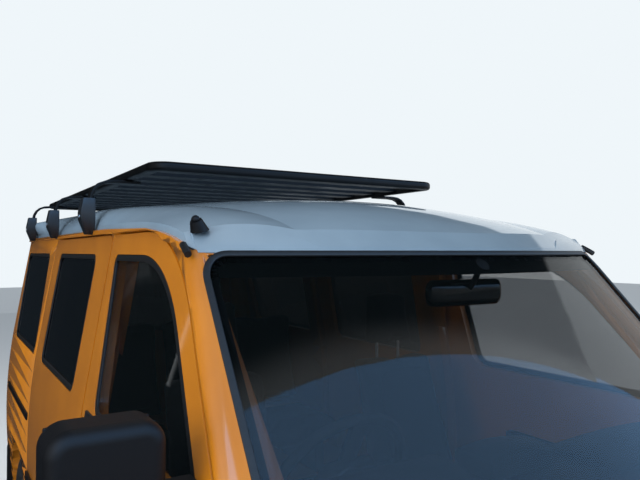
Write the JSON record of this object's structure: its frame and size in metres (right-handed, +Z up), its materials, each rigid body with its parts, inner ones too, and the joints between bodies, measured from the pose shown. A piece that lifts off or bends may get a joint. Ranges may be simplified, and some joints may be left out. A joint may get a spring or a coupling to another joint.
{
  "type": "minivan with roof rack",
  "caption": "Compact forward-control van with hinged front doors, lifting tailgate and bonnet, steering wheels and a slatted roof rack.",
  "frame": {"origin": "on the ground under the middle of the overall length and width", "axes": "+X to the vehicle's left, -Y forward, +Z up"},
  "size_m": [2.097, 4.0649, 1.9749],
  "materials": {
    "body_paint": "gloss amber paint",
    "roof_paint": "gloss white paint",
    "black_plastic": "grained black plastic",
    "cabin_plastic": "soft grained plastic",
    "seat_fabric": "dark woven cloth",
    "clear_glass": "clear laminated glass",
    "tinted_glass": "dark tinted glass",
    "lamp_lens": "clear lamp lens",
    "tail_lens": "red lamp lens",
    "chassis_metal": "black chassis paint",
    "rack_metal": "satin black powder coat",
    "wheel_steel": "silver paint",
    "tyre_rubber": "rubber"
  },
  "bodies": {
    "body": {"side_left": "body_paint", "side_right": "body_paint", "nose_panel": "body_paint", "cowl_panel": "black_plastic", "rear_frame": "body_paint", "roof_panel": "roof_paint", "floor_pan": "body_paint", "chassis_rails": "chassis_metal", "front_bumper": "black_plastic", "rear_bumper": "black_plastic", "grille": "black_plastic", "head_lamps": "lamp_lens", "tail_lamps": "tail_lens", "windscreen": "clear_glass", "side_glass": "tinted_glass", "sliding_doors": "body_paint", "slide_rails": "black_plastic", "dashboard": "cabin_plastic", "steering_column": "cabin_plastic", "front_seats": "seat_fabric", "seat_bases": "chassis_metal", "rear_bench": "seat_fabric", "bench_legs": "chassis_metal", "cabin_trim": "cabin_plastic", "powertrain": "chassis_metal", "rear_axle": "chassis_metal", "front_suspension": "chassis_metal", "exhaust": "chassis_metal", "fuel_tank": "chassis_metal", "rack_frame": "rack_metal", "rack_legs": "rack_metal", "aerial_base": "black_plastic", "wipers": "black_plastic"},
    "door_left": {"door_left": "body_paint", "door_glass_left": "tinted_glass", "mirror_left": "black_plastic"},
    "door_right": {"door_right": "body_paint", "door_glass_right": "tinted_glass", "mirror_right": "black_plastic"},
    "tailgate": {"tailgate": "body_paint", "tailgate_glass": "tinted_glass"},
    "bonnet": {"bonnet": "body_paint"},
    "steering_wheel": {"steering_wheel": "cabin_plastic"},
    "knuckle_left": {"knuckle_left": "chassis_metal"},
    "knuckle_right": {"knuckle_right": "chassis_metal"},
    "wheel_front_left": {"rim_front_left": "wheel_steel", "tyre_front_left": "tyre_rubber"},
    "wheel_front_right": {"rim_front_right": "wheel_steel", "tyre_front_right": "tyre_rubber"},
    "wheel_rear_left": {"rim_rear_left": "wheel_steel", "tyre_rear_left": "tyre_rubber"},
    "wheel_rear_right": {"rim_rear_right": "wheel_steel", "tyre_rear_right": "tyre_rubber"}
  },
  "joints": [
    {"name": "door_left_hinge", "type": "hinge", "parent": "body", "child": "door_left", "pos_m": [0.836, -1.2575, 0.9], "axis": [0, 0, -1], "range_deg": [0, 65]},
    {"name": "door_right_hinge", "type": "hinge", "parent": "body", "child": "door_right", "pos_m": [-0.836, -1.2575, 0.9], "axis": [0, 0, 1], "range_deg": [0, 65]},
    {"name": "tailgate_hinge", "type": "hinge", "parent": "body", "child": "tailgate", "pos_m": [0, 2.0055, 1.729], "axis": [1, 0, 0], "range_deg": [0, 85]},
    {"name": "bonnet_hinge", "type": "hinge", "parent": "body", "child": "bonnet", "pos_m": [0, -1.606, 1.066], "axis": [-1, 0, 0], "range_deg": [0, 60]},
    {"name": "steer_right", "type": "hinge", "parent": "body", "child": "knuckle_right", "pos_m": [-0.64, -1.2975, 0.2], "axis": [0.1257, 0, 0.9921], "range_deg": [-33, 33]},
    {"name": "steer_left", "type": "hinge", "parent": "body", "child": "knuckle_left", "pos_m": [0.64, -1.2975, 0.2], "axis": [-0.1257, 0, 0.9921], "range_deg": [-33, 33]},
    {"name": "steering_wheel_turn", "type": "hinge", "parent": "body", "child": "steering_wheel", "pos_m": [-0.38, -0.9325, 1.15], "axis": [0, 0.8829, 0.4695], "range_deg": [-480, 480]},
    {"name": "wheel_front_left_spin", "type": "hinge", "parent": "knuckle_left", "child": "wheel_front_left", "pos_m": [0.73, -1.2975, 0.31], "axis": [1, 0, 0], "continuous": true},
    {"name": "wheel_front_right_spin", "type": "hinge", "parent": "knuckle_right", "child": "wheel_front_right", "pos_m": [-0.73, -1.2975, 0.31], "axis": [1, 0, 0], "continuous": true},
    {"name": "wheel_rear_left_spin", "type": "hinge", "parent": "body", "child": "wheel_rear_left", "pos_m": [0.73, 1.3525, 0.31], "axis": [1, 0, 0], "continuous": true},
    {"name": "wheel_rear_right_spin", "type": "hinge", "parent": "body", "child": "wheel_rear_right", "pos_m": [-0.73, 1.3525, 0.31], "axis": [1, 0, 0], "continuous": true}
  ],
  "couplings": [
    {"joint": "steer_left", "follows": "steer_right", "ratio": 1},
    {"joint": "steering_wheel_turn", "follows": "steer_right", "ratio": 14.5}
  ]
}
